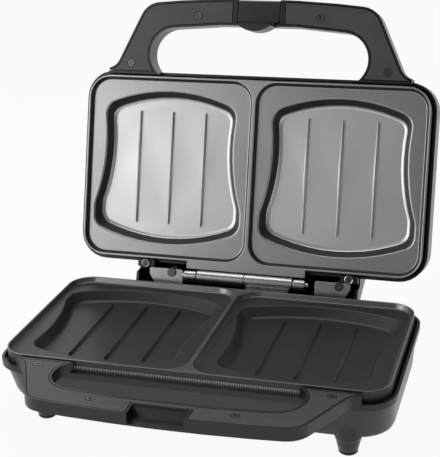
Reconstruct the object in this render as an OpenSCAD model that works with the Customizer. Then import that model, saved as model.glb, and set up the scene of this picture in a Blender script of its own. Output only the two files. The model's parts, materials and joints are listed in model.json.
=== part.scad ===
// Two-slice sandwich toaster with deep plates, shown with its lid folded open.
// X runs along the hinge, Y points to the rear, Z points up and is 0 at the foot pads.
// The lid and the latch are drawn closed and then turned open about the hinge axis.

/* [Plates] */
// Width of a cooking plate over its rim
plate_w = 280; // [250:1:310]
// Depth of a cooking plate over its rim
plate_d = 148; // [136:1:164]
// Corner radius of a cooking plate
plate_r = 19; // [16:1:24]
// Thickness of the plate metal
plate_t = 2.4; // [1.8:0.1:3]
// Width of the flat top of the rim
rim_w = 1.4; // [1:0.1:2.5]
// Width of the sloped step inside the rim
step_w = 1.8; // [1:0.1:3]
// Drop from the rim to the flat land
step_h = 4; // [3:0.5:6]
// Width of the top of the bar between the two compartments
bar_w = 2.6; // [2:0.1:5]
// Depth of a bread pocket below the land
pocket_h = 8; // [5:0.5:9]
// Half width of a bread pocket at its waist
pocket_waist = 53.9; // [46:0.1:57]
// Half depth of a bread pocket
pocket_half_d = 62.4; // [54:0.1:64]
// Height of a scoring ridge on the pocket floor
ridge_h = 2.2; // [1:0.1:3]
// Length of a scoring ridge
ridge_len = 92; // [60:1:100]
// Distance between two scoring ridges
ridge_pitch = 27.8; // [20:0.1:30]
// Height of the plate skirt below the rim
skirt_h = 12; // [10:1:14]

/* [Housings] */
// Height of the feet below the base housing
foot_h = 13.5; // [11:0.5:20]
// Height of the base housing wall
base_h = 33; // [30:1:45]
// Height by which a plate stands out of its housing
plate_stand = 8; // [6:0.5:10]
// Gap between a plate and the lip of the base housing
lip_gap = 2.4; // [2:0.1:4]
// Wall of the housings
wall = 2.1; // [1.6:0.1:3]
// Overhang of the lip round the base housing's top edge
lip_out = 2.2; // [1:0.1:3]
// Height of that lip
lip_h = 6; // [5:0.5:8]
// Floor of the base housing
floor_t = 2.5; // [2:0.1:4]
// Inward slope of the base housing's side walls
side_taper = 4; // [2:0.5:10]
// Inward slope of the base housing's front and rear walls
front_taper = 11; // [4:0.5:12]
// Overhang of the lid housing past its plate
lid_lip = 3.5; // [2.5:0.1:5]
// Height of the lid housing
lid_h = 36; // [30:1:48]
// Gap between the two rims when the lid is closed
closed_gap = 0.9; // [0.5:0.1:3]
// Half width of the hinge hump of the lid
hump_half = 92; // [88:1:100]

/* [Hinge] */
// Distance of the hinge axis behind the plates
hinge_back = 12; // [11:0.5:16]
// Height of the hinge axis above the rim of the base plate
hinge_up = 2.4; // [0:0.1:5]
// Opening angle of the lid in the drawn pose
open_angle = 106.3; // [95:0.1:110]
// Radius of the hinge pin
pin_r = 2.5; // [2:0.1:3]
// Outer radius of the hinge knuckles
knuckle_r = 5.5; // [4.5:0.1:5.7]
// Length of one hinge knuckle
knuckle_len = 38.8; // [30:0.1:39]
// Running clearance around pins
run_gap = 0.05; // [0.03:0.01:0.09]

/* [Handles] */
// Reach of the handles in front of the plates
handle_reach = 63.6; // [58:0.1:72]
// Half width of a handle where it leaves the housing
handle_root = 119; // [114:1:124]
// Half width of a handle at its front edge
handle_front = 90; // [84:1:96]
// Thickness of the base handle
base_handle_t = 9; // [8:0.5:12]
// Thickness of the lid handle
lid_handle_t = 18; // [15:0.5:20]
// Wall of the handle trays
tray_wall = 1.6; // [1.2:0.1:2]
// Thickness of the handle covers
cover_t = 2.2; // [1.6:0.1:3]
// Gap around a handle cover
cover_gap = 0.5; // [0.3:0.1:0.8]
// Depth of the handle bar from its front edge to the hand slot
bar_d = 21; // [19:0.5:24]
// Half width of the hand slot at its widest
slot_half = 89; // [80:1:92]

/* [Latch] */
// Half width of the latch notch in both handles
notch_half = 19.5; // [18:0.5:22]
// Half width of the latch button
button_half = 16.8; // [13:0.1:17.5]
// Half width of the latch tongue
tongue_half = 13.3; // [10:0.1:14]
// Thickness of the latch tongue at its middle
tongue_t = 4.8; // [4:0.1:5.5]
// Reach of the latch hook under the base handle
hook_reach = 3.2; // [2.5:0.1:4]
// Height of the latch hook
hook_h = 2.8; // [2.4:0.1:4]
// Radius of the latch pin
latch_pin_r = 1.25; // [1:0.05:1.4]

/* [Feet and fasteners] */
// Top radius of a foot
foot_top_r = 8.8; // [8:0.1:11]
// Bottom radius of a foot
foot_bottom_r = 6.8; // [5:0.1:8]
// Distance of the front feet from the middle, sideways
foot_x = 111.7; // [95:0.1:115]
// Distance of the front feet in front of the middle
front_foot_y = 61; // [50:0.5:64]
// Distance of the rear feet behind the middle
rear_foot_y = 86; // [80:0.5:87]
// Distance of the rear feet from the middle, sideways
rear_foot_x = 80; // [60:1:82]
// Head radius of the small screws
screw_head_r = 2.9; // [2.5:0.1:3.1]
// Shank radius of the small screws
screw_r = 1.5; // [1.2:0.1:1.8]

/* [Heating] */
// Radius of the heating element's tube
heater_r = 3.2; // [2.8:0.1:3.6]
// Bend radius of the heating element
heater_bend = 20; // [16:1:24]

/* [Hidden] */
$fn = 48;
eps = 0.02;
rim_z = foot_h + base_h + plate_stand;    // rim of the base plate
ledge_z = foot_h + base_h;                // top of the base housing wall
face_z = rim_z - 0.5;                     // top face of the base handle
tray_z = face_z - base_handle_t;          // bottom of the base handle
lid_rim_z = rim_z + closed_gap;           // rim of the closed lid plate
lid_face_z = lid_rim_z + 0.3;             // lower face of the closed lid handle
lid_edge_z = lid_rim_z + plate_stand - 1; // lower edge of the closed lid housing
lid_top_z = lid_edge_z + lid_h;
hinge_y = plate_d / 2 + hinge_back;
hinge_z = rim_z + hinge_up;
front_y = -plate_d / 2 - handle_reach;    // front edge of both handles
slot_y = front_y + bar_d;                 // front edge of both hand slots
house_y = plate_d / 2 + lip_gap + wall;   // half depth of the base housing
house_x = plate_w / 2 + lip_gap + wall;   // half width of the base housing
lid_y = plate_d / 2 + lid_lip;            // half depth of the lid housing
land_z = rim_z - step_h;                  // flat land inside the rim
under_z = land_z - plate_t;               // underside of the land
pocket_x = plate_w / 4 + 0.3;             // middle of a bread pocket
post_z = under_z - 9;                     // lower end of the plate's screw posts
pan_z = post_z - 1;                       // underside of the reflector's flange
lid_pan_z = lid_rim_z + rim_z - pan_z;    // the same flange in the lid
heater_z = land_z - pocket_h - plate_t - heater_r - 0.1;
hump_r = 15;                              // outer radius of the lid's hump round the hinge
trough_r = hump_r + 0.7;                  // hollow of the base under that hump
hump_low = -8;                            // angle where the hump's lip ends
hump_high = 35;                           // angle where the hump becomes straight
hump_rear = hinge_y + 13;                 // rear face of the base's hump
stop_play = 0.25;                         // gap left between the lid and its open stop
stop_angle = open_angle - hump_high - acos((hump_r + stop_play) / trough_r);
trough_edge_z = hinge_z - trough_r * sin(stop_angle); // the open stop of the lid
latch_y = front_y + 10.6;                 // axis of the latch
latch_z = lid_face_z + 3.3;
tongue_y = slot_y + 0.4;                  // front face of the tongue
hook_z = tray_z - 0.4;                    // top face of the hook
tongue_round = (pow(tongue_half, 2) + pow(tongue_t, 2)) / (2 * tongue_t);
well_half = button_half + 0.6;            // half width of the latch's well in the lid handle
block_d = 14.6;                           // depth of the block round the base's latch notch
lid_arc_r = 12;                           // radius of the lid's top edge
// the middle of the drawn pose, so that the origin is under the middle of the whole object
lid_arc_y = -(lid_y - lid_arc_r) - hinge_y;
lid_arc_z = lid_top_z - lid_arc_r - hinge_z;
rear_reach = hinge_y + lid_arc_y * cos(open_angle) + lid_arc_z * sin(open_angle) + lid_arc_r;
mid_y = (front_y + rear_reach) / 2;
post_x = plate_w / 2 - 16;                // screw posts of the plates
post_y = plate_d / 2 - 19;
plate_posts = [for (x = [-1, 1], y = [-1, 1]) [x * post_x, y * post_y]];
cover_screws = [for (x = [-1, 1], k = [0, 1])
    [x * (k == 0 ? 49.7 : handle_root - 14.2), k == 0 ? slot_y - 7 : -plate_d / 2 - 10]];
boss_r = foot_top_r + 1;                  // bosses that carry the feet, blended into the walls
feet_at = [[-foot_x, -front_foot_y], [foot_x, -front_foot_y],
    [-rear_foot_x, rear_foot_y], [rear_foot_x, rear_foot_y]];
leaf_screws = [10, 30];
leaf_t = 1.6;                             // metal of the hinge leaves
leaf_y = plate_d / 2 + 0.5;               // front face of the base's hinge leaf
leaf_screw_z = ledge_z - 8;
strap_x = [-66.5, 71.5];
rivet_x = [-61.8, 76.5];
rivet_y = hinge_y - 1.6;
housing_colour = [0.10, 0.10, 0.105];
cover_colour = [0.24, 0.24, 0.25];
coat_colour = [0.30, 0.30, 0.31];
steel_colour = [0.70, 0.70, 0.71];

// Puts a part of the base into the frame whose origin is under the object's middle
module in_base() { translate([0, -mid_y, 0]) children(); }

// Turns a part of the closed lid into the drawn open pose
module in_lid() {
    in_base() translate([0, hinge_y, hinge_z]) rotate([-open_angle, 0, 0])
        translate([0, -hinge_y, -hinge_z]) children();
}

// Mirrors the base plate's side into the closed lid, rim to rim
module as_lid_plate() { translate([0, 0, lid_rim_z + rim_z]) mirror([0, 0, 1]) children(); }

// ---------- outlines ----------

// Rectangle with round corners of n chords each
module rounded(w, d, r, n = 7) {
    polygon([for (k = [0:3], i = [0:n]) let (a = k * 90 + i * 90 / n)
        [(k == 0 || k == 3 ? 1 : -1) * (w / 2 - r) + r * cos(a),
            (k < 2 ? 1 : -1) * (d / 2 - r) + r * sin(a)]]);
}

// One flat slice of a housing: half sizes drawn in by dx and dy
module slice(half_x, half_y, r, dx, dy, z) {
    translate([0, 0, z]) linear_extrude(eps) rounded(2 * (half_x - dx), 2 * (half_y - dy), r);
}

// One compartment of a plate: half the plate less the rim and half the bar
module compartment(inset) {
    w = plate_w / 2 - rim_w - bar_w / 2;
    translate([bar_w / 2 + w / 2, 0])
        rounded(w - 2 * inset, plate_d - 2 * rim_w - 2 * inset, plate_r - rim_w - 1 - inset);
}

// Bread pocket round its own middle: bowed front and rear edges and drawn-in sides
module pocket(grow) {
    front_bow = 132;
    rear_bow = 153;
    side_bow = 163;
    waist_y = -20;
    corner = 11;
    offset(delta = grow) offset(r = corner, $fn = 24) offset(delta = -corner) difference() {
        intersection() {
            translate([0, front_bow - pocket_half_d]) circle(front_bow, $fn = 72);
            translate([0, pocket_half_d - rear_bow]) circle(rear_bow, $fn = 80);
            square([2 * pocket_waist + 17, 2 * pocket_half_d], center = true);
        }
        for (s = [-1, 1]) translate([s * (pocket_waist + side_bow), waist_y]) circle(side_bow, $fn = 96);
    }
}

// Slim ridge, widest in its middle, that scores the bread
module ridge() {
    half_w = 1.6;
    tip = 0.3;
    intersection() {
        linear_extrude(ridge_h) polygon([[tip, -ridge_len / 2], [half_w, 0], [tip, ridge_len / 2],
            [-tip, ridge_len / 2], [-half_w, 0], [-tip, -ridge_len / 2]]);
        translate([0, ridge_len / 2, 0]) rotate([90, 0, 0]) linear_extrude(ridge_len)
            polygon([[-half_w, 0], [half_w, 0], [0.25, ridge_h], [-0.25, ridge_h]]);
    }
}

// Outline of a handle, drawn in by inset and ending at rear_y, with its hand slot still closed
module handle_outline(inset, rear_y) {
    root_round = 12;
    corner = 18;
    bow = 900;
    root_y = -plate_d / 2 - 4;
    flare_y = root_y - 1.5;
    intersection() {
        offset(delta = -inset) offset(r = corner, $fn = 32) offset(delta = -corner)
            offset(r = -root_round, $fn = 32) offset(delta = root_round) union() {
                intersection() {
                    polygon([[-handle_root, root_y + 8], [handle_root, root_y + 8], [handle_root, root_y],
                        [handle_front, front_y - 2], [-handle_front, front_y - 2], [-handle_root, root_y]]);
                    translate([0, front_y + bow]) circle(bow, $fn = 180);
                }
                translate([-plate_w / 2, flare_y]) square([plate_w, 60]);
            }
        translate([-handle_root - 4.5, front_y - 5]) square([2 * handle_root + 9, rear_y - front_y + 5]);
    }
}

// The hand slot, open to the housing behind it
module slot_outline(grow) {
    round_r = 21;
    bow = 3.1;
    offset(r = round_r + grow, $fn = 40) polygon([[-slot_half + round_r, slot_y + round_r + bow],
        [-30, slot_y + round_r], [30, slot_y + round_r], [slot_half - round_r, slot_y + round_r + bow]]);
}

// Side view of the lid's hinge hump, with Y across and Z up the page
module hump_profile(inset) {
    r = hump_r - inset;
    top_y = hinge_y + r * cos(hump_high);
    top_z = hinge_z + r * sin(hump_high);
    end_z = lid_top_z - 5 - inset;
    run = (end_z - top_z) * tan(hump_high);
    intersection() {
        translate([hinge_y, hinge_z]) circle(r, $fn = 96);
        translate([hinge_y, hinge_z])
            polygon([[0, 0], [40 * cos(hump_low), 40 * sin(hump_low)], [40, 40], [0, 40]]);
    }
    polygon([[hinge_y, hinge_z], [top_y, top_z], [top_y - run, end_z], [lid_y - 8, end_z],
        [lid_y - 8, lid_edge_z + 2], [hinge_y - 2, lid_edge_z + 2]]);
}

module along_x(x0, x1) { translate([x0, 0, 0]) rotate([90, 0, 90]) linear_extrude(x1 - x0) children(); }

module tube_x(x0, x1, r_out, r_in) {
    translate([x0, 0, 0]) rotate([0, 90, 0]) difference() {
        cylinder(h = x1 - x0, r = r_out);
        translate([0, 0, -1]) cylinder(h = x1 - x0 + 2, r = r_in);
    }
}

// Screw whose shank points down from z = 0, with its cross-slotted head above
module screw(len, head_r = screw_head_r) {
    difference() {
        cylinder(h = 1.6, r = head_r);
        for (a = [0, 90]) rotate([0, 0, a])
            translate([-head_r * 0.55, -0.35, 0.7]) cube([head_r * 1.1, 0.7, 2]);
    }
    translate([0, 0, -len]) cylinder(h = len + eps, r = screw_r);
}

// ---------- cooking plates, drawn for the base and mirrored for the lid ----------

module plate_body() {
    difference() {
        union() {
            difference() {
                translate([0, 0, rim_z - skirt_h]) linear_extrude(skirt_h) rounded(plate_w, plate_d, plate_r);
                translate([0, 0, rim_z - skirt_h - 1]) linear_extrude(under_z - rim_z + skirt_h + 1)
                    rounded(plate_w - 2 * plate_t, plate_d - 2 * plate_t, plate_r - plate_t);
            }
            for (s = [-1, 1]) scale([s, 1, 1]) translate([pocket_x, 0, land_z - plate_t / 2])
                mirror([0, 0, 1]) linear_extrude(pocket_h + plate_t / 2, scale = 0.92) pocket(plate_t);
            for (p = plate_posts) translate([p[0], p[1], post_z]) cylinder(h = 10, r = 4);
        }
        for (s = [-1, 1]) scale([s, 1, 1]) {
            hull() {
                translate([0, 0, rim_z]) linear_extrude(1) compartment(0);
                translate([0, 0, land_z]) linear_extrude(eps) compartment(step_w);
            }
            translate([pocket_x, 0, land_z + eps]) mirror([0, 0, 1])
                linear_extrude(pocket_h + eps, scale = 0.915) pocket(0);
        }
        for (p = plate_posts) translate([p[0], p[1], post_z - 1]) cylinder(h = 9.5, r = screw_r + run_gap);
    }
    for (s = [-1, 1], k = [-1, 0, 1])
        translate([s * pocket_x + k * ridge_pitch, 0, land_z - pocket_h - eps]) ridge();
}

module base_plate() { color(coat_colour) in_base() plate_body(); }

module lid_plate() {
    tab_half = 49.3;
    tab_d = 6;
    color(coat_colour) in_lid() {
        as_lid_plate() plate_body();
        translate([-tab_half, plate_d / 2 - 1, lid_rim_z]) cube([2 * tab_half, tab_d + 1, plate_t]);
    }
}

// ---------- base ----------

module base_shell(inset, z0, z1) {
    hx = house_x - inset;
    hy = house_y - inset;
    hull() {
        slice(hx, hy, 24 - inset, side_taper + 3.5, front_taper + 3.5, z0);
        slice(hx, hy, 25 - inset, side_taper + 0.9, front_taper + 0.9, z0 + 1.6);
        slice(hx, hy, 25 - inset, side_taper - 0.5, front_taper - 0.6, z0 + 5);
        slice(hx, hy, 24 - inset, lip_out, lip_out, z1 - lip_h);
    }
    hull() {
        slice(hx, hy, 24 - inset, lip_out, lip_out, z1 - lip_h - eps);
        slice(hx, hy, 23 - inset, 0, 0, z1 - lip_h + 1.5);
        slice(hx, hy, 23 - inset, 0, 0, z1 - eps);
    }
}

// Hump behind the base that carries the rear feet; its hollow starts behind the housing's wall
module base_hump(inset, y0) {
    half = hump_half + 3 - inset;
    round_r = 12 - inset;
    translate([0, 0, foot_h + (inset > 0 ? floor_t : 0)])
        linear_extrude(trough_edge_z - foot_h - (inset > 0 ? floor_t : 0)) intersection() {
            translate([0, hump_rear - inset - 60]) rounded(2 * half, 120, round_r);
            translate([-half, y0]) square([2 * half, 200]);
        }
}

module trough(r) {
    translate([-2 * hump_half, hinge_y, hinge_z]) rotate([0, 90, 0])
        cylinder(h = 4 * hump_half, r = r, $fn = 96);
}

// Thumb notch in the base handle, seen from the side, with its leaning rear wall
module notch_profile() {
    polygon([[front_y - 2, tray_z + 1.4], [front_y + 8.6, tray_z + 1.4], [front_y + 11.6, face_z - 1.9],
        [front_y + 14, face_z + 0.1], [front_y + 14, face_z + 3], [front_y - 2, face_z + 3]]);
}

module tray_hollow(rear_y, inset, block) {
    difference() {
        handle_outline(inset, rear_y);
        slot_outline(inset);
        translate([-notch_half - inset, front_y - 2])
            square([2 * (notch_half + inset), block + 2 + inset - tray_wall]);
    }
}

module base_housing() {
    color(housing_colour) in_base() difference() {
        union() {
            difference() {
                union() {
                    base_shell(0, foot_h, ledge_z);
                    base_hump(0, plate_d / 4);
                }
                base_shell(wall, foot_h + floor_t, ledge_z + 1);
                difference() {
                    base_hump(wall, house_y);
                    trough(trough_r + wall);
                }
            }
            for (p = plate_posts) translate([p[0], p[1], foot_h + 2])
                cylinder(h = pan_z - foot_h - 2, r = 5);
            for (p = feet_at) translate([p[0], p[1], foot_h - 3]) {
                cylinder(h = 3, r1 = foot_top_r, r2 = boss_r);
                translate([0, 0, 3 - eps]) cylinder(h = 13, r = boss_r);
            }
        }
        intersection() {
            trough(trough_r);
            translate([-200, house_y + 0.7, 0]) cube([400, 60, 200]);
        }
        for (p = plate_posts) translate([p[0], p[1], 0]) {
            cylinder(h = 90, r = screw_r + 0.2);
            cylinder(h = foot_h + 3.4, r = screw_head_r + 0.3);
        }
        for (p = feet_at) translate([p[0], p[1], 0]) cylinder(h = foot_h + 6, r = screw_r + run_gap);
        // the cord's way in, the wires' way to the hump and the holes of the hinge leaf's screws
        translate([60, hump_rear + 1, foot_h + 14]) rotate([90, 0, 0]) cylinder(h = 8, r = 6);
        translate([34, house_y - front_taper - 4, foot_h + 6]) cube([30, front_taper + 5, 12]);
        for (x = leaf_screws) translate([x, house_y + 1, leaf_screw_z]) rotate([90, 0, 0])
            cylinder(h = 8, r = screw_r + run_gap);
        // flat seat of the hinge leaf in the sloped rear wall
        translate([1, leaf_y - 12, ledge_z - 13]) cube([knuckle_len, 12 + leaf_t + run_gap, 20]);
    }
}

// Tray of the base handle, set on the housing's wall and against its lip
module base_handle() {
    tray_rear = -house_y + wall;
    color(housing_colour) in_base() difference() {
        translate([0, 0, tray_z]) linear_extrude(base_handle_t) difference() {
            handle_outline(0, tray_rear);
            slot_outline(0);
        }
        translate([-plate_w, -house_y, 0]) cube([2 * plate_w, 40, ledge_z]);
        translate([0, 0, tray_z + 1.8]) linear_extrude(base_handle_t) difference() {
            tray_hollow(tray_rear - tray_wall, tray_wall, block_d);
            for (p = cover_screws) translate(p) circle(3);
        }
        translate([0, 0, face_z - cover_t]) linear_extrude(cover_t + 1)
            tray_hollow(tray_rear - tray_wall, tray_wall, block_d);
        for (p = cover_screws) translate([p[0], p[1], tray_z + 1]) cylinder(h = 20, r = screw_r + run_gap);
        along_x(-notch_half, notch_half) notch_profile();
    }
}

// A handle cover with holes for its screws; children are cut away as well
module handle_cover(z0, rear_y, block) {
    difference() {
        translate([0, 0, z0]) linear_extrude(cover_t) tray_hollow(rear_y, tray_wall + cover_gap, block);
        for (p = cover_screws) translate([p[0], p[1], z0 - 1]) cylinder(h = cover_t + 2, r = screw_r + 0.1);
        children();
    }
}

module base_handle_cover() {
    rear_y = -house_y + wall - tray_wall - cover_gap;
    color(cover_colour) in_base() handle_cover(face_z - cover_t, rear_y, block_d)
        for (p = cover_screws) translate([p[0], p[1], face_z - 1.5]) cylinder(h = 2, r = screw_head_r + 0.4);
}

module base_handle_screws() {
    color(steel_colour) in_base() for (p = cover_screws)
        translate([p[0], p[1], face_z - 1.5]) screw(5.5);
}

module base_plate_screws() {
    head_z = foot_h + 3.4;
    color(steel_colour) in_base() for (p = plate_posts) translate([p[0], p[1], head_z]) rotate([180, 0, 0])
        screw(under_z - 2 - head_z);
}

module feet() {
    color(housing_colour) in_base() for (p = feet_at) translate([p[0], p[1], 0]) difference() {
        union() {
            translate([0, 0, 2.5]) cylinder(h = foot_h - 5.5, r1 = foot_bottom_r, r2 = foot_top_r);
            translate([0, 0, foot_h - 3 - eps]) cylinder(h = 8, r = screw_r);
        }
        translate([0, 0, 2]) cylinder(h = 3, r = 3);
    }
}

module foot_pads() {
    color([0.06, 0.06, 0.06]) in_base() for (p = feet_at) translate([p[0], p[1], 0]) {
        cylinder(h = 1.2, r1 = foot_bottom_r - 1.2, r2 = foot_bottom_r);
        translate([0, 0, 1.2]) cylinder(h = 1.3, r = foot_bottom_r);
        translate([0, 0, 2.5 - eps]) cylinder(h = 2.3, r = 2.9);
    }
}

// Heating element: a flat loop under the plate with its two cold ends at the rear
module heater_loop() {
    run_x = plate_w / 2 - 28;
    run_y = plate_d / 2 - 36;
    gap_x = 24;
    b = heater_bend;
    translate([0, 0, heater_z]) {
        translate([-(run_x - b), -run_y, 0]) rotate([0, 90, 0]) cylinder(h = 2 * (run_x - b), r = heater_r);
        for (s = [-1, 1]) scale([s, 1, 1]) {
            translate([run_x - b, -(run_y - b), 0]) rotate([0, 0, -90]) rotate_extrude(angle = 90)
                translate([b, 0]) circle(heater_r);
            translate([run_x, -(run_y - b), 0]) rotate([-90, 0, 0])
                cylinder(h = 2 * (run_y - b), r = heater_r);
            translate([run_x - b, run_y - b, 0]) rotate_extrude(angle = 90)
                translate([b, 0]) circle(heater_r);
            translate([gap_x, run_y, 0]) rotate([0, 90, 0]) cylinder(h = run_x - b - gap_x, r = heater_r);
            translate([gap_x - 12, run_y, 0]) rotate([0, 90, 0]) cylinder(h = 12 + eps, r = 1.6);
        }
    }
}

module base_heater() { color(steel_colour) in_base() heater_loop(); }

// Saddle clamps that hold the heating element against the pockets
module heater_clamps() {
    play = 0.1;
    t = 1.4;
    low = heater_z - heater_r - play - t;
    high = land_z - pocket_h - plate_t;
    for (x = [-1, 1], y = [-1, 1]) translate([x * pocket_x - 6, y * (plate_d / 2 - 36), 0]) difference() {
        translate([0, -heater_r - play - t, low]) cube([12, 2 * (heater_r + play + t), high - low]);
        translate([-1, -heater_r - play, low + t]) cube([14, 2 * (heater_r + play), 20]);
    }
}

module base_heater_clamps() { color(steel_colour) in_base() heater_clamps(); }

// Reflector: a shallow metal pan whose flange is held between the screw posts
module reflector() {
    drop = 9;
    pan_w = plate_w - 44;
    pan_d = plate_d - 36;
    difference() {
        union() {
            translate([0, 0, pan_z]) linear_extrude(1) rounded(plate_w - 12, plate_d - 12, 14);
            translate([0, 0, pan_z - drop]) linear_extrude(drop + 0.5) rounded(pan_w, pan_d, 22);
        }
        translate([0, 0, pan_z - drop + 1]) linear_extrude(drop + 2) rounded(pan_w - 2, pan_d - 2, 21);
        for (p = plate_posts) translate([p[0], p[1], pan_z - 1]) cylinder(h = 4, r = screw_r + 0.3);
        translate([-8, plate_d / 2 - 32, pan_z - drop - 1]) cube([16, 8, 4]);
    }
}

module base_reflector() { color([0.75, 0.76, 0.78]) in_base() reflector(); }

module thermostat() {
    color([0.55, 0.5, 0.4]) in_base() translate([0, -18, under_z - 9.1]) cylinder(h = 9, r = 8);
}

module thermal_fuse() {
    color([0.85, 0.8, 0.6]) in_base() translate([-44, 50, foot_h + floor_t + 2.6]) rotate([0, 90, 0])
        cylinder(h = 26, r = 2.5);
}

module terminal_block() {
    color([0.9, 0.9, 0.88]) in_base() translate([34, 44, foot_h + floor_t + 0.05]) difference() {
        cube([30, 12, 10]);
        for (i = [0:2]) translate([5 + i * 10, 6, 3]) cylinder(h = 12, r = 2);
    }
}

module cord_bush() {
    color([0.05, 0.05, 0.05]) in_base() translate([60, hump_rear, foot_h + 14]) rotate([-90, 0, 0])
        difference() {
        union() {
            translate([0, 0, 0.02]) cylinder(h = 3, r = 9);
            translate([0, 0, -6]) cylinder(h = 7, r = 5.9);
        }
        translate([0, 0, -10]) cylinder(h = 20, r = 3.6);
    }
}

// Hinge leaf of the base: a knuckle, a short bridge and a plate between cooking plate and wall
module base_hinge_leaf() {
    t = leaf_t;
    color(steel_colour) in_base() difference() {
        union() {
            translate([0.4, hinge_y, hinge_z]) rotate([0, 90, 0]) cylinder(h = knuckle_len, r = knuckle_r);
            translate([2, leaf_y, hinge_z - knuckle_r]) cube([knuckle_len - 4, hinge_y - leaf_y, t]);
            translate([2, leaf_y, ledge_z - 12])
                cube([knuckle_len - 4, t, hinge_z - knuckle_r + t - ledge_z + 12]);
        }
        translate([-5, hinge_y, hinge_z]) rotate([0, 90, 0]) cylinder(h = 60, r = pin_r + run_gap);
        for (x = leaf_screws) translate([x, leaf_y + 5, leaf_screw_z]) rotate([90, 0, 0])
            cylinder(h = 12, r = screw_r + run_gap);
    }
}

module base_hinge_screws() {
    color(steel_colour) in_base() for (x = leaf_screws) translate([x, leaf_y, leaf_screw_z])
        rotate([90, 0, 0]) screw(3.7);
}

module hinge_pin() {
    color(steel_colour) in_base() translate([-52, hinge_y, hinge_z]) rotate([0, 90, 0])
        cylinder(h = 104, r = pin_r);
}

module hinge_collars() {
    color(steel_colour) in_base() translate([0, hinge_y, hinge_z]) {
        tube_x(-50.2, -40.4, 4.8, pin_r + run_gap);
        tube_x(40.4, 49.6, 4.8, pin_r + run_gap);
    }
}

// ---------- lid, drawn closed ----------

module lid_shell(inset, z0) {
    hx = plate_w / 2 + lid_lip - inset;
    hy = lid_y - inset;
    r = lid_arc_r;
    top = lid_top_z - inset;
    hull() {
        slice(hx, hy, 22 - inset, 0, 0, z0);
        for (a = [0:18:72]) let (d = r * (1 - cos(a)))
            slice(hx, hy, 22 - inset - d / 3, d, d, top - r * (1 - sin(a)));
        slice(hx, hy, 18 - inset, r, r, top - eps);
    }
}

module lid_housing() {
    tray_rear = -lid_y + wall - 0.2;
    color(housing_colour) in_lid() difference() {
        union() {
            difference() {
                union() {
                    lid_shell(0, lid_edge_z);
                    along_x(-hump_half, hump_half) hump_profile(0);
                }
                lid_shell(wall, lid_edge_z - 1);
                intersection() {
                    along_x(-hump_half + wall, hump_half - wall) hump_profile(wall);
                    translate([-200, lid_y, 0]) cube([400, 60, 200]);
                }
            }
            translate([0, 0, lid_face_z]) linear_extrude(lid_handle_t) difference() {
                handle_outline(0, tray_rear);
                slot_outline(0);
            }
            // hollow posts that press the reflector and the plate down, ears and strap posts
            for (p = plate_posts) translate([p[0], p[1], lid_pan_z])
                cylinder(h = lid_top_z - wall / 2 - lid_pan_z, r = 5);
            for (s = [-1, 1]) translate([s * 84.2 - 7, plate_d / 2 + 1.6, lid_face_z + 1.2])
                cube([14, 5.6, lid_edge_z - lid_face_z + 2]);
            intersection() {
                for (x = rivet_x) translate([x, rivet_y, lid_rim_z + 3]) cylinder(h = 40, r = 4.4);
                along_x(-hump_half, hump_half) hump_profile(1);
            }
        }
        translate([0, 0, lid_face_z - 1.8]) linear_extrude(lid_handle_t) difference() {
            tray_hollow(tray_rear - wall, tray_wall, bar_d + 4);
            for (p = cover_screws) translate(p) circle(3);
        }
        translate([0, 0, lid_face_z - 1]) linear_extrude(cover_t + 1)
            tray_hollow(tray_rear - wall, tray_wall, bar_d + 4);
        for (p = cover_screws) translate([p[0], p[1], lid_face_z - 5])
            cylinder(h = lid_handle_t, r = screw_r + run_gap);
        // well of the latch lever: open below, above in front and to the hand slot for the tongue
        translate([-well_half, front_y - 4, lid_face_z - 1])
            cube([2 * well_half, bar_d + 2, lid_handle_t - 1.2]);
        translate([-well_half, front_y - 4, lid_face_z - 1])
            cube([2 * well_half, 15, lid_handle_t + 8]);
        translate([-tongue_half - 1, front_y, lid_face_z - 1])
            cube([2 * tongue_half + 2, bar_d + 2, 10.5]);
        translate([-notch_half - 3, latch_y, latch_z]) rotate([0, 90, 0])
            cylinder(h = 2 * notch_half + 6, r = latch_pin_r + 0.01);
        for (p = plate_posts) translate([p[0], p[1], lid_rim_z])
            cylinder(h = lid_top_z - 16 - lid_rim_z, r = screw_head_r + 0.3);
        // windows of the pilot lamps and holes for the ears', the straps' and the leaf's fasteners
        for (s = [-1, 1]) translate([s * 14, -34, lid_top_z - 5]) cylinder(h = 10, r = 4.6);
        for (s = [-1, 1]) translate([s * 84.2, plate_d / 2 + 4.4, lid_rim_z])
            cylinder(h = 8, r = screw_r + run_gap);
        for (x = rivet_x) translate([x, rivet_y, lid_rim_z + 1]) cylinder(h = 12, r = screw_r + run_gap);
        for (x = leaf_screws) translate([-x, plate_d / 2, lid_edge_z + 12]) rotate([-90, 0, 0])
            cylinder(h = 6, r = screw_r + run_gap);
    }
}

// One side of the lid handle's cover; the latch's well divides the cover in two
module lid_cover(side) {
    color(cover_colour) in_lid() intersection() {
        handle_cover(lid_face_z, -lid_y - cover_gap - 0.2, bar_d + 4)
            for (p = cover_screws) translate([p[0], p[1], lid_face_z - 0.5])
                cylinder(h = 2, r = screw_head_r + 0.4);
        translate([side > 0 ? 0 : -200, -200, 0]) cube([200, 200, 100]);
    }
}

module lid_cover_left() { lid_cover(-1); }

module lid_cover_right() { lid_cover(1); }

module lid_handle_screws() {
    color(steel_colour) in_lid() for (p = cover_screws) translate([p[0], p[1], lid_face_z + 1.5])
        rotate([180, 0, 0]) screw(8);
}

module lid_plate_screws() {
    color(steel_colour) in_lid() for (p = plate_posts) translate([p[0], p[1], lid_pan_z]) screw(8.5);
}

module lid_heater() { color(steel_colour) in_lid() as_lid_plate() heater_loop(); }

module lid_heater_clamps() { color(steel_colour) in_lid() as_lid_plate() heater_clamps(); }

module lid_reflector() { color([0.75, 0.76, 0.78]) in_lid() as_lid_plate() reflector(); }

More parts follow.
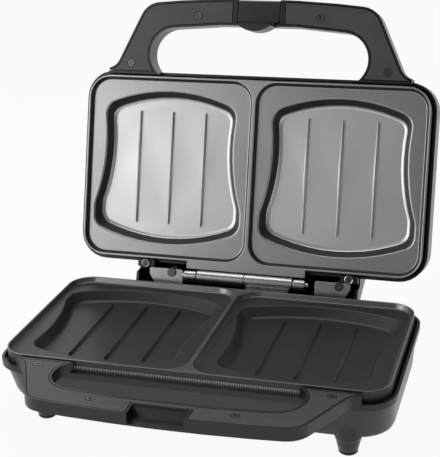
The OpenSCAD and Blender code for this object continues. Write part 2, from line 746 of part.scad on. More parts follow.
module lid_hinge_leaf() {
    t = leaf_t;
    color(steel_colour) in_lid() difference() {
        union() {
            translate([-knuckle_len - 0.4, hinge_y, hinge_z]) rotate([0, 90, 0])
                cylinder(h = knuckle_len, r = knuckle_r);
            translate([-knuckle_len + 2, lid_y, hinge_z + knuckle_r - t])
                cube([knuckle_len - 4, hinge_y - lid_y, t]);
            translate([-knuckle_len + 2, lid_y, hinge_z + knuckle_r - t]) cube([knuckle_len - 4, t, 20]);
        }
        translate([-60, hinge_y, hinge_z]) rotate([0, 90, 0]) cylinder(h = 70, r = pin_r + run_gap);
        for (x = leaf_screws) translate([-x, lid_y - 3, lid_edge_z + 12]) rotate([-90, 0, 0])
            cylinder(h = 12, r = screw_r + run_gap);
    }
}

module lid_hinge_screws() {
    color(steel_colour) in_lid() for (x = leaf_screws) translate([-x, lid_y + 1.6, lid_edge_z + 12])
        rotate([-90, 0, 0]) screw(4.2);
}

// Stamped straps that lie beside the knuckles, each with its outer edge cut at a slant
module lid_straps() {
    t = 1.6;
    color(steel_colour) in_lid() for (i = [0, 1]) difference() {
        translate([strap_x[i], hinge_y, lid_rim_z + 3 - t]) mirror([i, 0, 0]) linear_extrude(t)
            offset(r = 1.5, $fn = 24) offset(delta = -1.5)
            polygon([[-14.2, -4.5], [14.2, -4.5], [14.2, 10], [-8.5, 10], [-14.2, 0.5]]);
        translate([rivet_x[i], rivet_y, lid_rim_z]) cylinder(h = 6, r = screw_r + 0.1);
    }
}

module strap_rivets() {
    color([0.12, 0.12, 0.12]) in_lid() for (x = rivet_x) translate([x, rivet_y, lid_rim_z + 1.4]) {
        translate([0, 0, -1.2]) cylinder(h = 1.2, r = 3.6);
        translate([0, 0, -eps]) cylinder(h = 9, r = screw_r);
    }
}

module lid_ear_screws() {
    color(steel_colour) in_lid() for (s = [-1, 1]) translate([s * 84.2, plate_d / 2 + 4.4, lid_face_z + 1.2])
        rotate([180, 0, 0]) screw(5, 2.7);
}

module pilot_lens(x, c) {
    color(c) in_lid() translate([x, -34, lid_top_z]) {
        cylinder(h = 1, r1 = 5.6, r2 = 5);
        translate([0, 0, -wall - 1]) cylinder(h = wall + 1 + eps, r = 4.5);
    }
}

module power_lens() { pilot_lens(-14, [0.8, 0.1, 0.1]); }

module ready_lens() { pilot_lens(14, [0.1, 0.6, 0.2]); }

module pilot_lamps() {
    color([0.9, 0.6, 0.3]) in_lid() for (s = [-1, 1]) translate([s * 14, -34, lid_top_z - wall - 10.05])
        cylinder(h = 9, r = 2.5);
}

// ---------- latch: a rocking button whose tongue hooks under the base handle ----------

module latch_lever() {
    top_z = lid_face_z + lid_handle_t;
    low_z = lid_face_z + 0.1;
    back_y = slot_y - 3.1;
    mid_z = latch_z + 6.5;
    color([0.13, 0.13, 0.135]) in_lid() difference() {
        union() {
            along_x(-button_half, button_half) polygon([[front_y + 1.8, low_z], [back_y, low_z],
                [back_y, mid_z], [front_y + 10.2, mid_z], [front_y + 10.2, top_z + 0.6],
                [front_y + 3.4, top_z + 0.6], [front_y + 0.6, top_z - 4], [front_y + 0.6, low_z + 3.5]]);
            translate([-tongue_half, back_y - 0.4, low_z]) cube([2 * tongue_half, 3.9, 5]);
            translate([0, 0, hook_z - hook_h]) linear_extrude(low_z + 5 - hook_z + hook_h) intersection() {
                translate([0, tongue_y + tongue_t - tongue_round]) circle(tongue_round, $fn = 96);
                translate([-tongue_half, tongue_y]) square([2 * tongue_half, tongue_t]);
            }
            // the hook's top face slopes, so that it swings out from under the handle
            along_x(-tongue_half + 1, tongue_half - 1) polygon([[tongue_y - hook_reach, hook_z - 1.35],
                [tongue_y + 0.5, hook_z], [tongue_y + 0.5, hook_z - hook_h],
                [tongue_y - 1.2, hook_z - hook_h], [tongue_y - hook_reach, hook_z - hook_h + 0.8]]);
        }
        translate([0, latch_y, latch_z]) rotate([0, 90, 0])
            cylinder(h = 60, r = latch_pin_r + run_gap, center = true);
        // room for the spring and its upright leg
        translate([0, latch_y, latch_z]) rotate([0, 90, 0]) cylinder(h = 7.4, r = 2.6, center = true);
        translate([-3.7, latch_y - 0.2, latch_z]) cube([7.4, 5.6, 12]);
    }
}

module latch_pin() {
    color(steel_colour) in_lid() translate([0, latch_y, latch_z]) rotate([0, 90, 0])
        cylinder(h = 2 * (notch_half + tray_wall), r = latch_pin_r, center = true);
}

// Torsion spring: a coil on the pin with one leg that stands against the well's ceiling
module latch_spring() {
    turns = 5;
    steps = 12;
    sides = 6;
    coil_r = 1.9;
    wire_r = 0.3;
    pitch = 0.95;
    n = turns * steps;
    points = [for (i = [0:n], j = [0:sides - 1])
        let (a = i * 360 / steps, b = j * 360 / sides, r = coil_r + wire_r * cos(b))
            [(i / steps - turns / 2) * pitch + wire_r * sin(b), r * cos(a), r * sin(a)]];
    faces = concat([[for (j = [0:sides - 1]) sides - 1 - j]], [[for (j = [0:sides - 1]) n * sides + j]],
        [for (i = [0:n - 1], j = [0:sides - 1]) let (k = (j + 1) % sides)
            [i * sides + j, (i + 1) * sides + k, (i + 1) * sides + j]],
        [for (i = [0:n - 1], j = [0:sides - 1]) let (k = (j + 1) % sides)
            [i * sides + j, i * sides + k, (i + 1) * sides + k]]);
    color(steel_colour) in_lid() translate([0, latch_y, latch_z]) {
        polyhedron(points, faces);
        translate([turns / 2 * pitch, coil_r - 0.02, -0.3])
            cylinder(h = lid_face_z + lid_handle_t - 2.2 - 0.05 - latch_z + 0.3, r = wire_r * 0.8);
    }
}

base_housing();
base_handle();
base_handle_cover();
base_handle_screws();
base_plate();
base_plate_screws();
base_heater();
base_heater_clamps();
base_reflector();
thermostat();
thermal_fuse();
terminal_block();
cord_bush();
feet();
foot_pads();
base_hinge_leaf();
base_hinge_screws();
hinge_pin();
hinge_collars();
lid_housing();
lid_cover_left();
lid_cover_right();
lid_handle_screws();
lid_plate();
lid_plate_screws();
lid_heater();
lid_heater_clamps();
lid_reflector();
lid_hinge_leaf();
lid_hinge_screws();
lid_straps();
strap_rivets();
lid_ear_screws();
power_lens();
ready_lens();
pilot_lamps();
latch_lever();
latch_pin();
latch_spring();
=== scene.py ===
import json
import math

import bmesh
import bpy
from mathutils import Matrix, Vector


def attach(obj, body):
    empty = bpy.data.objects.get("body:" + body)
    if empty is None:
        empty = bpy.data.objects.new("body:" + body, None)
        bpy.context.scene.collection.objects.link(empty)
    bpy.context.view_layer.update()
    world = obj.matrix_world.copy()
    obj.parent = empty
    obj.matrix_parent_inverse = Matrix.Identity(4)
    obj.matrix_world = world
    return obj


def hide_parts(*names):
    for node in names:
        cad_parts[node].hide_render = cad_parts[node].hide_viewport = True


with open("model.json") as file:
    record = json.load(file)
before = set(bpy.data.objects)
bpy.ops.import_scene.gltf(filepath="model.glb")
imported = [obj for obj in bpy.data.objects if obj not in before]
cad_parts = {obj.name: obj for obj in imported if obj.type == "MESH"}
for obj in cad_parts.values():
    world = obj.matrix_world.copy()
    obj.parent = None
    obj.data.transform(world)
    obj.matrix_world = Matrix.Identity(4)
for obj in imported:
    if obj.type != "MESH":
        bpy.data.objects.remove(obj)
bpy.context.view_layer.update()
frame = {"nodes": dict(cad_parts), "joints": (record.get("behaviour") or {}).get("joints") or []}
nodes = frame["nodes"]
scene = bpy.context.scene
MM = 0.001


# ---------- small tools ----------

def linear(hex_colour):
    """An sRGB hex value as a linear colour with full alpha."""
    parts = [int(hex_colour[i:i + 2], 16) / 255 for i in (1, 3, 5)]
    return tuple(c / 12.92 if c <= 0.04045 else ((c + 0.055) / 1.055) ** 2.4 for c in parts) + (1.0,)


def add(tree, kind, sockets=None, **settings):
    """Adds a node. A socket gets a value, or a link where an output is given."""
    made = tree.nodes.new(kind)
    for key, value in settings.items():
        setattr(made, key, value)
    for key, value in (sockets or {}).items():
        if isinstance(value, bpy.types.NodeSocket):
            tree.links.new(value, made.inputs[key])
        else:
            made.inputs[key].default_value = value
    return made


def material(name):
    made = bpy.data.materials.new(name)
    made.use_nodes = True
    made.node_tree.nodes.clear()
    return made, made.node_tree


def ramp(tree, fac, stops):
    made = add(tree, "ShaderNodeValToRGB", {"Fac": fac})
    for i, (place, colour) in enumerate(stops):
        stop = made.color_ramp.elements[i] if i < 2 else made.color_ramp.elements.new(place)
        stop.position = place
        stop.color = colour
    return made.outputs["Color"]


def finish_material(tree, shader):
    add(tree, "ShaderNodeOutputMaterial", {"Surface": shader.outputs[0]})


# ---------- materials ----------

# Polypropylene, moulded against a spark-eroded tool: satin black with a fine pebble, slightly cloudy.
# The real grain is about 0.1 mm; it is drawn at 0.7 mm so that it shows.
moulded_black, t = material("spark_textured_black_polypropylene")
place = add(t, "ShaderNodeTexCoord").outputs["Object"]
pebble = add(t, "ShaderNodeTexNoise", {"Vector": place, "Scale": 1400.0, "Detail": 2.0, "Roughness": 0.6})
cloud = add(t, "ShaderNodeTexNoise", {"Vector": place, "Scale": 22.0, "Detail": 3.0})
tint = ramp(t, cloud.outputs["Fac"], [(0.3, linear("#0d0d0e")), (0.7, linear("#131314"))])
gloss = add(t, "ShaderNodeMapRange", {"Value": pebble.outputs["Fac"], "To Min": 0.26, "To Max": 0.4})
bump = add(t, "ShaderNodeBump", {"Height": pebble.outputs["Fac"], "Strength": 0.12, "Distance": 0.0002})
finish_material(t, add(t, "ShaderNodeBsdfPrincipled", {"Base Color": tint,
    "Roughness": gloss.outputs["Result"], "IOR": 1.49, "Normal": bump.outputs["Normal"]}))

# Glass-filled nylon of the handle covers: charcoal, a matt skin with a faint flow of the filler.
filled_charcoal, t = material("glass_filled_charcoal_nylon")
place = add(t, "ShaderNodeTexCoord").outputs["Object"]
pebble = add(t, "ShaderNodeTexNoise", {"Vector": place, "Scale": 1100.0, "Detail": 3.0, "Roughness": 0.7})
flow = add(t, "ShaderNodeTexNoise", {"Vector": add(t, "ShaderNodeMapping", {"Vector": place,
    "Scale": (1.0, 4.0, 4.0)}).outputs["Vector"], "Scale": 30.0, "Detail": 4.0})
mixed = add(t, "ShaderNodeMath", {0: pebble.outputs["Fac"], 1: flow.outputs["Fac"]}, operation="ADD")
tint = ramp(t, add(t, "ShaderNodeMath", {0: mixed.outputs[0], 1: 0.5}, operation="MULTIPLY").outputs[0],
    [(0.35, linear("#343436")), (0.65, linear("#434345"))])
gloss = add(t, "ShaderNodeMapRange", {"Value": pebble.outputs["Fac"], "To Min": 0.38, "To Max": 0.56})
bump = add(t, "ShaderNodeBump", {"Height": pebble.outputs["Fac"], "Strength": 0.16, "Distance": 0.0002})
finish_material(t, add(t, "ShaderNodeBsdfPrincipled", {"Base Color": tint,
    "Roughness": gloss.outputs["Result"], "IOR": 1.53, "Normal": bump.outputs["Normal"]}))

# ABS of the latch: smoother and a little shinier than the housings.
latch_abs, t = material("satin_black_abs")
place = add(t, "ShaderNodeTexCoord").outputs["Object"]
pebble = add(t, "ShaderNodeTexNoise", {"Vector": place, "Scale": 1600.0, "Detail": 2.0})
gloss = add(t, "ShaderNodeMapRange", {"Value": pebble.outputs["Fac"], "To Min": 0.3, "To Max": 0.42})
bump = add(t, "ShaderNodeBump", {"Height": pebble.outputs["Fac"], "Strength": 0.06, "Distance": 0.0001})
finish_material(t, add(t, "ShaderNodeBsdfPrincipled", {"Base Color": linear("#141415"),
    "Roughness": gloss.outputs["Result"], "IOR": 1.52, "Normal": bump.outputs["Normal"]}))


def plate_coating(name, low, high, fleck_colour, metallic, rough_low, rough_high):
    """Sprayed and baked non-stick coat on cast aluminium: mica flecks in a satin film over a faint
    orange peel. The flecks are 0.05 mm on the real plate and 0.6 mm here, so that they show."""
    made, t = material(name)
    place = add(t, "ShaderNodeTexCoord").outputs["Object"]
    fleck = add(t, "ShaderNodeTexNoise", {"Vector": place, "Scale": 1700.0, "Detail": 2.0, "Roughness": 0.75})
    peel = add(t, "ShaderNodeTexNoise", {"Vector": place, "Scale": 420.0, "Detail": 2.0})
    cloud = add(t, "ShaderNodeTexNoise", {"Vector": place, "Scale": 16.0, "Detail": 4.0})
    body = ramp(t, cloud.outputs["Fac"], [(0.3, linear(low)), (0.7, linear(high))])
    mask = ramp(t, fleck.outputs["Fac"], [(0.62, (0, 0, 0, 1)), (0.74, (1, 1, 1, 1))])
    mica = add(t, "ShaderNodeMix", {"Factor": mask, "A": body, "B": linear(fleck_colour)}, data_type="RGBA")
    gloss = add(t, "ShaderNodeMapRange", {"Value": fleck.outputs["Fac"], "To Min": rough_low,
        "To Max": rough_high})
    bump = add(t, "ShaderNodeBump", {"Height": peel.outputs["Fac"], "Strength": 0.05, "Distance": 0.0002})
    finish_material(t, add(t, "ShaderNodeBsdfPrincipled", {"Base Color": mica.outputs[2],
        "Metallic": metallic, "Roughness": gloss.outputs["Result"], "Normal": bump.outputs["Normal"]}))
    return made


lid_coat = plate_coating("titanium_grey_nonstick_coat", "#9b9b9b", "#a4a4a4", "#c9c9c7", 0.9, 0.3, 0.42)
# a lighter grey than the lid's lands, laid on the lid's pocket floors; the ribs on the base plate take it as
# painted light, so they show inside the shade under its lip
lighter_coat_and_painted_light = plate_coating("lighter_titanium_grey_coat_and_painted_light", "#c0c0c0", "#c9c9c8", "#e2e2e0", 0.88,
    0.32, 0.44)
# painted shade: the steep pocket walls and the lid's inner step take this dark, dull coat where shade falls
# in the grooves
painted_shade_coat = plate_coating("nonstick_coat_painted_shade", "#1f1f20", "#29292a", "#38383a", 0.1, 0.45, 0.6)
# painted shade: the base plate takes the same coat as the lid plate, painted far darker as shade
base_plate_coat_painted_shade = plate_coating("base_nonstick_coat_painted_shade", "#262627", "#2f2f30", "#4a4a4b", 0.15, 0.34, 0.46)
# painted highlight: a lighter copy of the base plate's coat, painted on its rims and step where they catch
# the light
rim_painted_highlight_coat = plate_coating("nonstick_rim_painted_highlight", "#6a6a6b", "#777778", "#a0a0a0", 0.8, 0.26, 0.36)

# Zinc-plated steel strip, rolled: fine lines along the rolling direction give long soft highlights.
zinc_steel, t = material("zinc_plated_rolled_steel")
place = add(t, "ShaderNodeTexCoord").outputs["Object"]
lines = add(t, "ShaderNodeTexNoise", {"Vector": add(t, "ShaderNodeMapping", {"Vector": place,
    "Scale": (1.0, 9.0, 9.0)}).outputs["Vector"], "Scale": 120.0, "Detail": 3.0, "Roughness": 0.6})
spangle = add(t, "ShaderNodeTexNoise", {"Vector": place, "Scale": 90.0, "Detail": 2.0})
tint = ramp(t, lines.outputs["Fac"], [(0.3, linear("#b2b3b5")), (0.7, linear("#bfc0c2"))])
gloss = add(t, "ShaderNodeMapRange", {"Value": spangle.outputs["Fac"], "To Min": 0.24, "To Max": 0.3})
bump = add(t, "ShaderNodeBump", {"Height": lines.outputs["Fac"], "Strength": 0.005, "Distance": 0.0001})
finish_material(t, add(t, "ShaderNodeBsdfPrincipled", {"Base Color": tint, "Metallic": 1.0,
    "Roughness": gloss.outputs["Result"], "Normal": bump.outputs["Normal"]}))

# Black-oxide steel of the screws and rivets: dark, with bare metal worn through on the edges of the slots.
black_oxide, t = material("black_oxide_steel")
place = add(t, "ShaderNodeTexCoord").outputs["Object"]
wear = add(t, "ShaderNodeTexNoise", {"Vector": place, "Scale": 900.0, "Detail": 3.0})
tint = ramp(t, wear.outputs["Fac"], [(0.4, linear("#4d4d4f")), (0.75, linear("#7f7f80"))])
finish_material(t, add(t, "ShaderNodeBsdfPrincipled", {"Base Color": tint, "Metallic": 1.0,
    "Roughness": 0.34}))

# Heater tube of nickel alloy, browned by heat.
element_tube, t = material("heat_browned_alloy_tube")
place = add(t, "ShaderNodeTexCoord").outputs["Object"]
stain = add(t, "ShaderNodeTexNoise", {"Vector": place, "Scale": 40.0, "Detail": 5.0})
tint = ramp(t, stain.outputs["Fac"], [(0.3, linear("#4e463f")), (0.7, linear("#7b7670"))])
finish_material(t, add(t, "ShaderNodeBsdfPrincipled", {"Base Color": tint, "Metallic": 1.0,
    "Roughness": 0.45}))

# Bright rolled aluminium sheet of the reflectors.
bright_sheet, t = material("bright_aluminium_sheet")
place = add(t, "ShaderNodeTexCoord").outputs["Object"]
roll = add(t, "ShaderNodeTexNoise", {"Vector": add(t, "ShaderNodeMapping", {"Vector": place,
    "Scale": (1.0, 20.0, 20.0)}).outputs["Vector"], "Scale": 120.0, "Detail": 3.0})
gloss = add(t, "ShaderNodeMapRange", {"Value": roll.outputs["Fac"], "To Min": 0.16, "To Max": 0.3})
finish_material(t, add(t, "ShaderNodeBsdfPrincipled", {"Base Color": linear("#d8d9db"), "Metallic": 1.0,
    "Roughness": gloss.outputs["Result"]}))

# Steatite, pressed and fired: chalky off-white of the terminal block, thermostat and fuse.
steatite, t = material("fired_steatite")
place = add(t, "ShaderNodeTexCoord").outputs["Object"]
grain = add(t, "ShaderNodeTexNoise", {"Vector": place, "Scale": 600.0, "Detail": 3.0})
tint = ramp(t, grain.outputs["Fac"], [(0.3, linear("#d3cdbf")), (0.7, linear("#e2ddd1"))])
finish_material(t, add(t, "ShaderNodeBsdfPrincipled", {"Base Color": tint, "Roughness": 0.75}))

# Silicone rubber: soft black with a dusty sheen.
silicone, t = material("black_silicone_rubber")
place = add(t, "ShaderNodeTexCoord").outputs["Object"]
dust = add(t, "ShaderNodeTexNoise", {"Vector": place, "Scale": 500.0, "Detail": 4.0})
tint = ramp(t, dust.outputs["Fac"], [(0.35, linear("#111112")), (0.7, linear("#1d1d1e"))])
finish_material(t, add(t, "ShaderNodeBsdfPrincipled", {"Base Color": tint, "Roughness": 0.7,
    "Sheen Weight": 0.1}))


def lens(name, deep, pale):
    """Polycarbonate lens, moulded clear and tinted: glossy, with the lamp's paler patch behind it."""
    made, t = material(name)
    place = add(t, "ShaderNodeTexCoord").outputs["Object"]
    swirl = add(t, "ShaderNodeTexNoise", {"Vector": place, "Scale": 180.0, "Detail": 1.0})
    tint = ramp(t, swirl.outputs["Fac"], [(0.35, linear(deep)), (0.7, linear(pale))])
    finish_material(t, add(t, "ShaderNodeBsdfPrincipled", {"Base Color": tint, "Roughness": 0.12, "IOR": 1.58,
        "Transmission Weight": 0.25, "Coat Weight": 0.3}))
    return made


red_lens = lens("red_polycarbonate_lens", "#8e0f0c", "#c8271e")
green_lens = lens("green_polycarbonate_lens", "#0c6a2a", "#28a352")
lamp_glass = lens("clear_neon_lamp_glass", "#c98a58", "#e9b98c")


# ---------- shaping ----------

LID_HINGE = next(j for j in frame["joints"] if j["name"] == "lid_hinge")
HINGE = Vector(LID_HINGE["pos_m"])
CLOSING = math.radians(LID_HINGE["range_deg"][1])
TO_CLOSED = Matrix.Translation(HINGE) @ Matrix.Rotation(CLOSING, 4, "X") @ Matrix.Translation(-HINGE)
SHIFT_Y = HINGE.y - 0.086          # the plates' middle, seen from the origin
RIM_Z = HINGE.z - 0.0024           # rim of the base plate
LID_RIM_Z = RIM_Z + 0.0009         # rim of the closed lid plate
STEP = 0.004                       # rim down to the land
FLOOR = 0.012                      # rim down to the pocket floor
PLATE_HALF_Y = 0.074
POCKET_X = 0.0703                  # middle of a pocket, left or right of the bar
RIDGES = 0.0278                    # from one score ridge to the next
RIDGE_HALF_LENGTH = 0.0475
RIDGE_REACH = 0.0024               # half a ridge's width with its fillets
LEVEL = 2e-4                       # corners this near to a depth count as lying at it


def merged_copy(node):
    """A CAD node's triangles as one closed mesh with flat faces joined."""
    bm = bmesh.new()
    bm.from_mesh(nodes[node].data)
    bmesh.ops.remove_doubles(bm, verts=bm.verts, dist=2e-6)
    bmesh.ops.dissolve_degenerate(bm, dist=1e-6, edges=bm.edges)
    bmesh.ops.dissolve_limit(bm, angle_limit=math.radians(0.6), verts=bm.verts, edges=bm.edges)
    return bm


def sharp_edges(bm, angle=32):
    limit = math.radians(angle)
    return [e for e in bm.edges if len(e.link_faces) == 2 and e.calc_face_angle(0.0) > limit]


def round_over(bm, edges, width, segments):
    if edges:
        bmesh.ops.bevel(bm, geom=edges, offset=width, offset_type="OFFSET", segments=segments, profile=0.5,
            affect="EDGES", clamp_overlap=True, material=-1, loop_slide=True)


def piece(name, bm, body, materials, stands_for=(), sharp=40):
    """Turns a bmesh into a finished piece that rides on a body."""
    mesh = bpy.data.meshes.new(name)
    bm.to_mesh(mesh)
    bm.free()
    for m in materials:
        mesh.materials.append(m)
    mesh.polygons.foreach_set("use_smooth", [True] * len(mesh.polygons))
    mesh.set_sharp_from_angle(angle=math.radians(sharp))
    made = bpy.data.objects.new(name, mesh)
    scene.collection.objects.link(made)
    even = made.modifiers.new("even_flats", "WEIGHTED_NORMAL")
    even.keep_sharp = True
    if stands_for:
        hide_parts(*stands_for)
    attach(made, body)
    return made


def eased(node, name, body, finish, width, segments=2, angle=32):
    """A node with its sharp edges rounded as moulding or stamping leaves them."""
    bm = merged_copy(node)
    round_over(bm, sharp_edges(bm, angle), width * MM, segments)
    return piece(name, bm, body, [finish], (node,))


# ---------- cooking plates ----------

# where each coat of cast_plate's list goes
PAINT_LAND, PAINT_WALL, PAINT_RIM, PAINT_STEP, PAINT_POCKET = range(5)


def cast_plate(node, name, body, to_plate, rim_z, up, coats):
    """A cast plate: soft fillets in the pockets, crisp rims, and the coats painted by where a face lies.
    Depth is measured from the rim into the plate."""
    bm = merged_copy(node)

    def site(co):
        p = to_plate @ co
        return p.x, p.y - SHIFT_Y, (rim_z - p.z) * up

    def on_ridge(x, y):
        off_ridge = min(abs(abs(x) - POCKET_X - k * RIDGES) for k in (-1, 0, 1))
        return abs(y) < RIDGE_HALF_LENGTH and off_ridge < RIDGE_REACH

    def ends(edge):
        return [site(v.co) for v in edge.verts]

    def loop_at(depth, half_x, half_y):
        return [e for e in sharp_edges(bm, 30) if all(abs(d - depth) < LEVEL and not on_ridge(x, y)
            and abs(x) < half_x and abs(y) < half_y for x, y, d in ends(e))]

    def fillet(depth, half_x, half_y, width, segments):
        # corners that lie closer together than the fillet allows become one first
        near = list(dict.fromkeys(v for e in loop_at(depth, half_x, half_y) for v in e.verts))
        bmesh.ops.remove_doubles(bm, verts=near, dist=width * 0.36)
        bmesh.ops.bevel(bm, geom=loop_at(depth, half_x, half_y), offset=width, offset_type="OFFSET",
            segments=segments, profile=0.5, affect="EDGES", clamp_overlap=False, material=-1, loop_slide=True)

    fillet(FLOOR, 0.134, 0.0665, 0.0022, 5)
    fillet(STEP, 0.1385, 0.0735, 0.0009, 3)
    rim_edges = [e for e in sharp_edges(bm, 30) if all(d < LEVEL for x, y, d in ends(e))]
    bmesh.ops.bevel(bm, geom=rim_edges, offset=0.0004, offset_type="OFFSET", segments=3, profile=0.5,
        affect="EDGES", clamp_overlap=False, material=-1, loop_slide=True)
    bm.normal_update()
    turn = to_plate.to_3x3()
    # Faces are sorted by where they lie; through the coat lists below, the pocket walls and the lid's inner
    # step get painted shade, the base plate's rims and step a painted highlight.
    for f in bm.faces:
        x, y, d = site(f.calc_center_median())
        steep = abs((turn @ f.normal).z)
        if 0.0048 < d < 0.0106 and steep < 0.75 and abs(y) < 0.066 and not on_ridge(x, y):
            f.material_index = PAINT_WALL
        elif 0.0048 < d < 0.0125 and abs(y) < 0.066 and abs(x) < 0.132:
            f.material_index = PAINT_POCKET
        elif 0.0005 < d < 0.0039 and steep < 0.95 and abs(y) < 0.0735 and abs(x) < 0.1392:
            f.material_index = PAINT_STEP
        elif d < 0.0005:
            f.material_index = PAINT_RIM
        else:
            f.material_index = PAINT_LAND
    return piece(name, bm, body, coats, (node,), sharp=50)


# base plate: painted shade over lands, walls and pockets, painted highlight on rims and step; lid plate:
# painted shade on walls and inner step
cast_plate("base_plate", "base_cast_plate", "base", Matrix.Identity(4), RIM_Z, 1,
    [base_plate_coat_painted_shade, painted_shade_coat, rim_painted_highlight_coat, rim_painted_highlight_coat, base_plate_coat_painted_shade])
cast_plate("lid_plate", "lid_cast_plate", "lid", TO_CLOSED, LID_RIM_Z, -1,
    [lid_coat, painted_shade_coat, lid_coat, painted_shade_coat, lighter_coat_and_painted_light])

# ---------- moulded and stamped pieces ----------

eased("base_housing", "base_moulding", "base", moulded_black, 0.45)
eased("lid_housing", "lid_moulding", "lid", moulded_black, 0.45)
eased("base_handle", "base_handle_moulding", "base", moulded_black, 0.45)
eased("base_handle_cover", "base_grip_cover", "base", filled_charcoal, 0.3)
eased("lid_cover_left", "lid_grip_cover_left", "lid", filled_charcoal, 0.3)
eased("lid_cover_right", "lid_grip_cover_right", "lid", filled_charcoal, 0.3)
eased("latch_lever", "latch_rocker", "latch", latch_abs, 0.5)
eased("feet", "moulded_feet", "base", moulded_black, 0.5)
eased("foot_pads", "pressed_foot_pads", "base", silicone, 0.3)
eased("base_hinge_leaf", "base_leaf_stamping", "base", zinc_steel, 0.25)
eased("lid_hinge_leaf", "lid_leaf_stamping", "lid", zinc_steel, 0.25)
eased("lid_straps", "stamped_straps", "lid", zinc_steel, 0.25)
eased("hinge_collars", "turned_collars", "base", zinc_steel, 0.4)
eased("strap_rivets", "headed_rivets", "lid", black_oxide, 0.3)
eased("cord_bush", "cord_gland", "base", silicone, 0.4)

# Upright ribs on the front of the base plate, behind the hand slot
RIB_PITCH = 1.2 * MM
RIB_RADIUS = 0.38 * MM
RIB_HEIGHT = 7.2 * MM
bm = bmesh.new()
front = SHIFT_Y - PLATE_HALF_Y
band = 0.168
count = int(band / RIB_PITCH)
for i in range(count + 1):
    at = Matrix.Translation((-0.084 + i * RIB_PITCH, front + 0.0001, RIM_Z - 0.0082))
    bmesh.ops.create_cone(bm, cap_ends=True, segments=8, radius1=RIB_RADIUS, radius2=RIB_RADIUS,
        depth=RIB_HEIGHT, matrix=at)
# the ribs take the lighter coat, painted light so that they show inside the shade under the plate's lip
piece("rib_band", bm, "base", [lighter_coat_and_painted_light])

# Rings of bare metal round the heads of the ear screws, built in the closed lid and swung open with it
EAR_X, EAR_Y = 0.0842, 0.0784
RING_RADIUS, RING_THICKNESS = 0.0031, 0.00045
bm = bmesh.new()
for side_x in (-EAR_X, EAR_X):
    start = [bm.verts.new((side_x + RING_RADIUS + RING_THICKNESS * math.cos(a), SHIFT_Y + EAR_Y,
        LID_RIM_Z + 0.0002 + RING_THICKNESS * math.sin(a))) for a in (k * math.pi / 4 for k in range(8))]
    ring_edges = [bm.edges.new((start[k], start[(k + 1) % 8])) for k in range(8)]
    bmesh.ops.spin(bm, geom=start + ring_edges, cent=(side_x, SHIFT_Y + EAR_Y, 0), axis=(0, 0, 1),
        angle=2 * math.pi, steps=32, use_merge=True)
bmesh.ops.recalc_face_normals(bm, faces=bm.faces)
bmesh.ops.transform(bm, matrix=TO_CLOSED.inverted(), verts=bm.verts)
piece("ear_screw_rings", bm, "lid", [zinc_steel])

FINISH = {
    "black_oxide": ["base_handle_screws", "lid_handle_screws", "lid_ear_screws"],
    "zinc": ["base_plate_screws", "lid_plate_screws", "base_hinge_screws", "lid_hinge_screws", "hinge_pin",
        "base_heater_clamps", "lid_heater_clamps", "latch_pin", "latch_spring"],
    "tube": ["base_heater", "lid_heater"],
    "sheet": ["base_reflector", "lid_reflector"],
    "fired": ["thermostat", "thermal_fuse", "terminal_block"],
    "red": ["power_lens"], "green": ["ready_lens"], "glass": ["pilot_lamps"],
}
COATS = {"black_oxide": black_oxide, "zinc": zinc_steel, "tube": element_tube, "sheet": bright_sheet,
    "fired": steatite, "red": red_lens, "green": green_lens, "glass": lamp_glass}
for kind, names in FINISH.items():
    for n in names:
        if not nodes[n].material_slots:
            nodes[n].data.materials.append(COATS[kind])
        for s in nodes[n].material_slots:
            s.material = COATS[kind]

# ---------- studio ----------

floor_paper, t = material("pale_floor_paper")
path = add(t, "ShaderNodeLightPath")
seen = add(t, "ShaderNodeMath", {0: path.outputs["Is Camera Ray"], 1: path.outputs["Is Glossy Ray"]},
    operation="MAXIMUM")
seen = add(t, "ShaderNodeMath", {0: seen.outputs[0], 1: path.outputs["Is Transmission Ray"]},
    operation="MAXIMUM")
share = add(t, "ShaderNodeMath", {0: seen.outputs[0], 1: 0.93}, operation="MULTIPLY")
paper = add(t, "ShaderNodeBsdfDiffuse", {"Color": linear("#f2f2f2")})
glow = add(t, "ShaderNodeEmission", {"Color": (1, 1, 1, 1), "Strength": 1.0})
finish_material(t, add(t, "ShaderNodeMixShader", {"Fac": share.outputs[0], 1: paper.outputs[0],
    2: glow.outputs[0]}))
bm = bmesh.new()
bmesh.ops.create_grid(bm, x_segments=1, y_segments=1, size=6.0)
floor_mesh = bpy.data.meshes.new("floor")
bm.to_mesh(floor_mesh)
bm.free()
floor_mesh.materials.append(floor_paper)
floor = bpy.data.objects.new("floor", floor_mesh)
scene.collection.objects.link(floor)

world = bpy.data.worlds.new("pale_studio")
scene.world = world
world.use_nodes = True
t = world.node_tree
t.nodes.clear()
path = add(t, "ShaderNodeLightPath")
way = add(t, "ShaderNodeTexCoord").outputs["Generated"]
# reflections see a room that is white behind and to the left, and dim in front, to the right and overhead
side = add(t, "ShaderNodeVectorMath", {0: way, 1: (-0.62, 0.78, -0.45)}, operation="DOT_PRODUCT")
room = add(t, "ShaderNodeMapRange", {"Value": side.outputs["Value"], "From Min": -0.55, "From Max": 0.55,
    "To Min": 0.16, "To Max": 1.0}, interpolation_type="SMOOTHSTEP")
gloss_light = add(t, "ShaderNodeBackground", {"Color": (1, 1, 1, 1), "Strength": room.outputs["Result"]})
fill_light = add(t, "ShaderNodeBackground", {"Color": (1, 1, 1, 1), "Strength": 0.3})
white = add(t, "ShaderNodeBackground", {"Color": (1, 1, 1, 1), "Strength": 1.0})
shiny = add(t, "ShaderNodeMath", {0: path.outputs["Is Glossy Ray"], 1: path.outputs["Is Transmission Ray"]},
    operation="MAXIMUM")
lit = add(t, "ShaderNodeMixShader", {"Fac": shiny.outputs[0], 1: fill_light.outputs[0],
    2: gloss_light.outputs[0]})
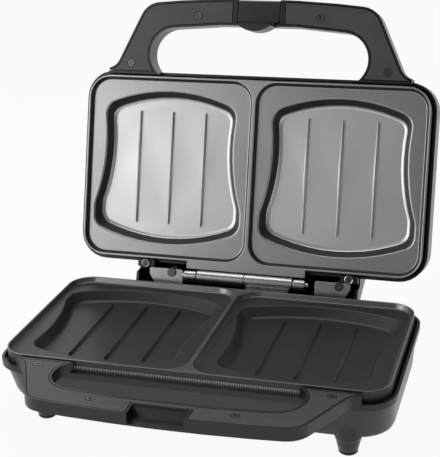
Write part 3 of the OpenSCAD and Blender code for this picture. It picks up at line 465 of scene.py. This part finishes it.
shown = add(t, "ShaderNodeMixShader", {"Fac": path.outputs["Is Camera Ray"], 1: lit.outputs[0],
    2: white.outputs[0]})
add(t, "ShaderNodeOutputWorld", {"Surface": shown.outputs[0]})


def softbox(name, at, aim, size_x, size_y, watts):
    data = bpy.data.lights.new(name, "AREA")
    data.shape = "RECTANGLE"
    data.size, data.size_y, data.energy = size_x, size_y, watts
    lamp = bpy.data.objects.new(name, data)
    scene.collection.objects.link(lamp)
    lamp.location = at
    lamp.rotation_mode = "QUATERNION"
    lamp.rotation_quaternion = (Vector(aim) - Vector(at)).to_track_quat("-Z", "Y")


softbox("left_front_box", (-1.15, -1.1, 0.6), (0, 0, 0.12), 1.1, 1.2, 13.0)
softbox("overhead_box", (-0.2, 0.3, 1.5), (0, 0, 0.1), 1.2, 0.8, 6.5)
softbox("right_back_strip", (1.2, 0.6, 0.7), (0, 0, 0.1), 0.3, 1.0, 3.0)

# ---------- camera ----------

# fitted to the photo: the focal length is in pixels of its longer side
CAMERA_DISTANCE, FOCAL_PIXELS, PHOTO_PIXELS, SENSOR = 0.87285, 1217.45, 457, 36
turn, rise, roll = math.radians(16.64), math.radians(20.25), math.radians(-1.64)
target = Vector((0.00621, -0.01562, HINGE.z + 0.07622))
ahead = Vector((-math.sin(turn) * math.cos(rise), math.cos(turn) * math.cos(rise), -math.sin(rise)))
level = Vector((math.cos(turn), math.sin(turn), 0))
upright = level.cross(ahead)
right = math.cos(roll) * level + math.sin(roll) * upright
up = -math.sin(roll) * level + math.cos(roll) * upright
camera = bpy.data.objects.new("camera", bpy.data.cameras.new("camera"))
scene.collection.objects.link(camera)
facing = Matrix((right, up, -ahead)).transposed().to_4x4()
camera.matrix_world = Matrix.Translation(target - ahead * CAMERA_DISTANCE) @ facing
camera.data.sensor_width = SENSOR
camera.data.lens = FOCAL_PIXELS * SENSOR / PHOTO_PIXELS
camera.data.clip_start, camera.data.clip_end = 0.05, 30
scene.camera = camera
scene.view_settings.view_transform = "Standard"
